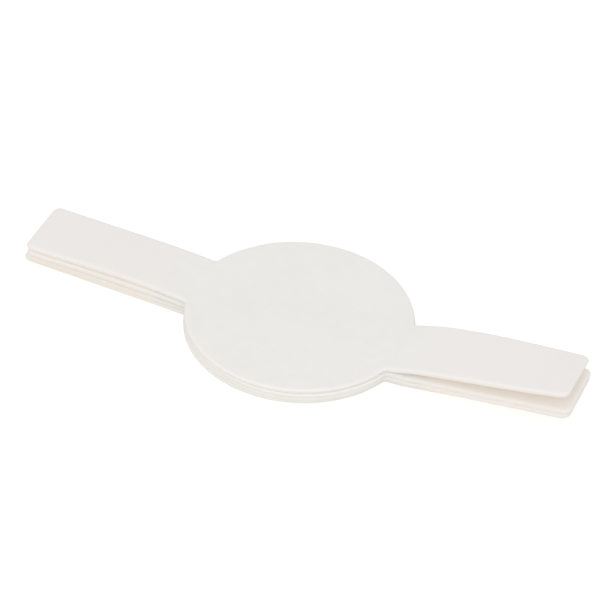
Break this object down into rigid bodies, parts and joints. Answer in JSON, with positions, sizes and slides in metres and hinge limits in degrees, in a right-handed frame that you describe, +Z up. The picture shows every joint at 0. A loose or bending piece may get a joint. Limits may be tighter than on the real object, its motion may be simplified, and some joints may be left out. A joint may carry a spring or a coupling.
{
  "type": "adhesive eye patch stack",
  "caption": "Loose stack of soft off-white adhesive eye patches, each a padded round disc with two opposite strap tabs that fold, and release liners under the tabs",
  "frame": {"origin": "on the table plane, under the centre of the top patch's disc", "axes": "+X along the straps towards the raised ones, +Y across them, +Z up from the table"},
  "size_m": [0.1544, 0.0603, 0.0135],
  "materials": {
    "outer_face": "soft matte nonwoven with a fine fibre surface",
    "inner_face": "soft matte nonwoven, smoother on the skin side",
    "wadding": "loose matte cotton wadding",
    "release_liner": "thin honey-coloured siliconised glassine with a low sheen"
  },
  "bodies": {
    "patch_1": {"patch_1_inner_face": "inner_face", "patch_1_outer_face": "outer_face", "patch_1_wadding": "wadding"},
    "patch_2": {"patch_2_inner_face": "inner_face", "patch_2_outer_face": "outer_face", "patch_2_wadding": "wadding"},
    "patch_3": {"patch_3_inner_face": "inner_face", "patch_3_outer_face": "outer_face", "patch_3_wadding": "wadding"},
    "patch_4": {"patch_4_disc_inner_face": "inner_face", "patch_4_disc_outer_face": "outer_face", "patch_4_disc_wadding": "wadding"},
    "patch_4_left_strap": {"patch_4_left_strap_inner_face": "inner_face", "patch_4_left_strap_outer_face": "outer_face", "patch_4_left_strap_wadding": "wadding"},
    "patch_4_right_strap": {"patch_4_right_strap_inner_face": "inner_face", "patch_4_right_strap_outer_face": "outer_face", "patch_4_right_strap_wadding": "wadding"},
    "patch_1_left_liner": {"patch_1_left_liner": "release_liner"},
    "patch_1_right_liner": {"patch_1_right_liner": "release_liner"},
    "patch_2_left_liner": {"patch_2_left_liner": "release_liner"},
    "patch_2_right_liner": {"patch_2_right_liner": "release_liner"},
    "patch_3_left_liner": {"patch_3_left_liner": "release_liner"},
    "patch_3_right_liner": {"patch_3_right_liner": "release_liner"},
    "patch_4_left_liner": {"patch_4_left_strap_liner": "release_liner"},
    "patch_4_right_liner": {"patch_4_right_strap_liner": "release_liner"}
  },
  "joints": [
    {"name": "patch_2_lift", "type": "slide", "parent": "patch_1", "child": "patch_2", "axis": [0, 0, 1], "range_m": [0, 0.04]},
    {"name": "patch_3_lift", "type": "slide", "parent": "patch_2", "child": "patch_3", "axis": [0, 0, 1], "range_m": [0, 0.04]},
    {"name": "patch_4_lift", "type": "slide", "parent": "patch_3", "child": "patch_4", "axis": [0, 0, 1], "range_m": [0, 0.04]},
    {"name": "left_strap_fold", "type": "hinge", "parent": "patch_4", "child": "patch_4_left_strap", "pos_m": [-0.03149, 0, 0.0047], "axis": [0, 1, 0], "range_deg": [0, 105]},
    {"name": "right_strap_fold", "type": "hinge", "parent": "patch_4", "child": "patch_4_right_strap", "pos_m": [0.03148, 0.00016, 0.00525], "axis": [0.0523, -0.9986, 0], "range_deg": [0, 95]},
    {"name": "patch_1_left_liner_pull", "type": "slide", "parent": "patch_1", "child": "patch_1_left_liner", "axis": [-1, 0, 0], "range_m": [0, 0.05]},
    {"name": "patch_1_right_liner_pull", "type": "slide", "parent": "patch_1", "child": "patch_1_right_liner", "axis": [0.9918, 0.052, 0.1167], "range_m": [0, 0.05]},
    {"name": "patch_2_left_liner_pull", "type": "slide", "parent": "patch_2", "child": "patch_2_left_liner", "axis": [-1, 0, 0], "range_m": [0, 0.05]},
    {"name": "patch_2_right_liner_pull", "type": "slide", "parent": "patch_2", "child": "patch_2_right_liner", "axis": [0.9918, 0.052, 0.1167], "range_m": [0, 0.05]},
    {"name": "patch_3_left_liner_pull", "type": "slide", "parent": "patch_3", "child": "patch_3_left_liner", "axis": [-1, 0, 0], "range_m": [0, 0.05]},
    {"name": "patch_3_right_liner_pull", "type": "slide", "parent": "patch_3", "child": "patch_3_right_liner", "axis": [0.9918, 0.052, 0.1167], "range_m": [0, 0.05]},
    {"name": "patch_4_left_liner_pull", "type": "slide", "parent": "patch_4_left_strap", "child": "patch_4_left_liner", "axis": [-1, 0, 0], "range_m": [0, 0.05]},
    {"name": "patch_4_right_liner_pull", "type": "slide", "parent": "patch_4_right_strap", "child": "patch_4_right_liner", "axis": [0.9822, 0.0515, 0.1805], "range_m": [0, 0.05]}
  ]
}
